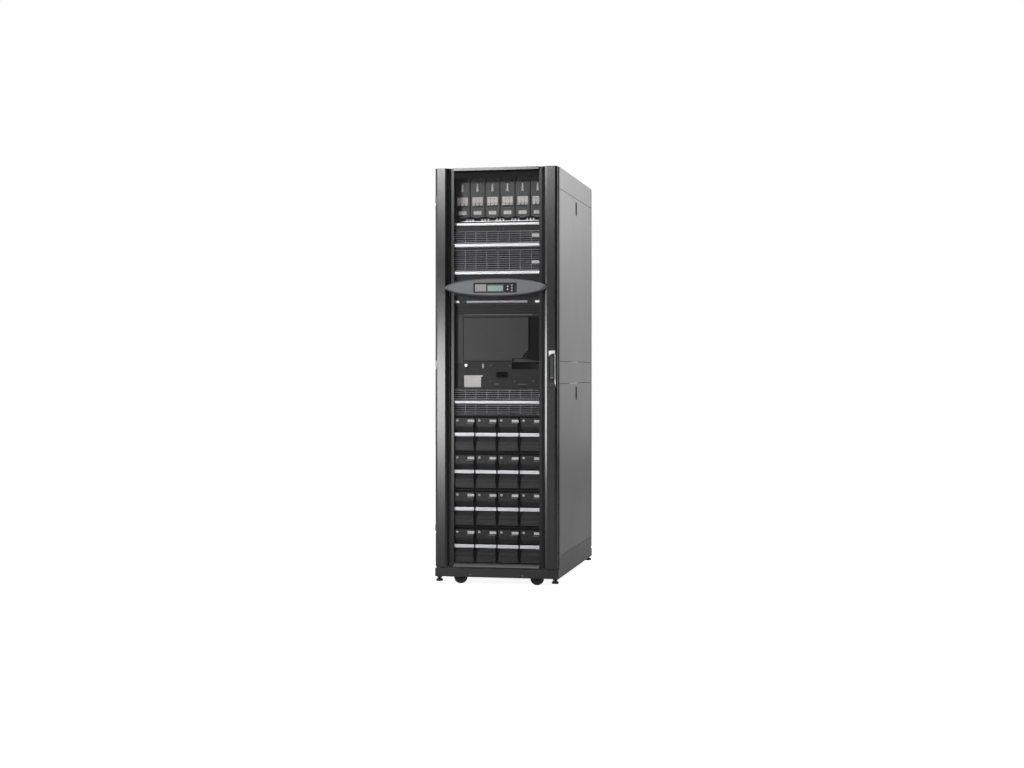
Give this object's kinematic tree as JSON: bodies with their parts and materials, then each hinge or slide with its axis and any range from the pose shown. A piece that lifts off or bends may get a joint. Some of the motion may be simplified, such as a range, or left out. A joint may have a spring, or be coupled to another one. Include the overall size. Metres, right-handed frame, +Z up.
{
  "type": "modular ups cabinet",
  "caption": "Tall black equipment cabinet on casters with a perforated hinged front door, oval display, battery drawers, power modules and breaker modules inside.",
  "frame": {"origin": "centre of the footprint, at floor level under the caster wheels", "axes": "+Z up, front door faces -Y, +X to the viewer's right"},
  "size_m": [0.6, 1.09, 1.991],
  "materials": {
    "powder_coat_black": "satin",
    "panel_coat_black": "satin",
    "door_coat_black": "satin",
    "module_coat_dark": "matt",
    "battery_plastic": "matt",
    "bar_silver": "satin",
    "bezel_plastic": "satin",
    "panel_plastic_dark": "gloss",
    "screen_glass": "clear",
    "key_plastic": "satin",
    "handle_plastic": "satin",
    "breaker_plastic": "satin",
    "terminal_steel": "satin",
    "zinc_steel": "satin",
    "caster_steel": "satin",
    "wheel_nylon": "satin",
    "brush_bristle": "matt"
  },
  "bodies": {
    "root": {"base_frame": "powder_coat_black", "levelling_feet": "zinc_steel", "rear_casters": "caster_steel", "front_frame": "powder_coat_black", "rear_frame": "powder_coat_black", "roof_panel": "panel_coat_black", "roof_brushes": "brush_bristle", "side_middle_rails": "panel_coat_black", "right_lower_panel": "panel_coat_black", "right_upper_panel": "panel_coat_black", "left_lower_panel": "panel_coat_black", "left_upper_panel": "panel_coat_black", "side_latches": "handle_plastic", "rear_right_door": "door_coat_black", "rear_left_door": "door_coat_black", "rear_handle": "handle_plastic", "equipment_chassis": "module_coat_dark", "battery_row_1": "battery_plastic", "battery_row_2": "battery_plastic", "battery_row_3": "battery_plastic", "battery_row_4": "battery_plastic", "battery_handles": "bar_silver", "power_module_lower": "module_coat_dark", "power_module_upper": "module_coat_dark", "power_module_bottom": "module_coat_dark", "module_bars": "bar_silver", "control_panel": "module_coat_dark", "control_switches": "key_plastic", "switch_cover": "module_coat_dark", "vent_panel": "module_coat_dark", "breaker_modules": "module_coat_dark", "breaker_blocks": "breaker_plastic", "terminal_strip": "terminal_steel"},
    "front_door": {"door_left_pillar": "door_coat_black", "door_right_pillar": "door_coat_black", "door_rails": "door_coat_black", "door_mesh": "door_coat_black", "display_bezel": "bezel_plastic", "display_panel": "panel_plastic_dark", "display_screen": "screen_glass", "display_keys": "key_plastic", "handle_base": "handle_plastic"},
    "door_handle": {"handle_lever": "handle_plastic"},
    "front_left_caster": {"front_left_fork": "caster_steel"},
    "front_left_roller": {"front_left_wheel": "wheel_nylon"},
    "front_right_caster": {"front_right_fork": "caster_steel"},
    "front_right_roller": {"front_right_wheel": "wheel_nylon"}
  },
  "joints": [
    {"name": "front_door_hinge", "type": "hinge", "parent": "root", "child": "front_door", "pos_m": [-0.289, -0.524, 1], "axis": [0, 0, -1], "range_deg": [0, 130]},
    {"name": "door_handle_lift", "type": "hinge", "parent": "front_door", "child": "door_handle", "pos_m": [0.272, -0.53975, 1.08675], "axis": [-1, 0, 0], "range_deg": [0, 60]},
    {"name": "front_left_swivel", "type": "hinge", "parent": "root", "child": "front_left_caster", "pos_m": [-0.202, -0.462, 0.08], "axis": [0, 0, 1], "continuous": true},
    {"name": "front_left_roll", "type": "hinge", "parent": "front_left_caster", "child": "front_left_roller", "pos_m": [-0.187, -0.462, 0.033], "axis": [0, 1, 0], "continuous": true},
    {"name": "front_right_swivel", "type": "hinge", "parent": "root", "child": "front_right_caster", "pos_m": [0.202, -0.462, 0.08], "axis": [0, 0, 1], "continuous": true},
    {"name": "front_right_roll", "type": "hinge", "parent": "front_right_caster", "child": "front_right_roller", "pos_m": [0.187, -0.462, 0.033], "axis": [0, 1, 0], "continuous": true}
  ]
}
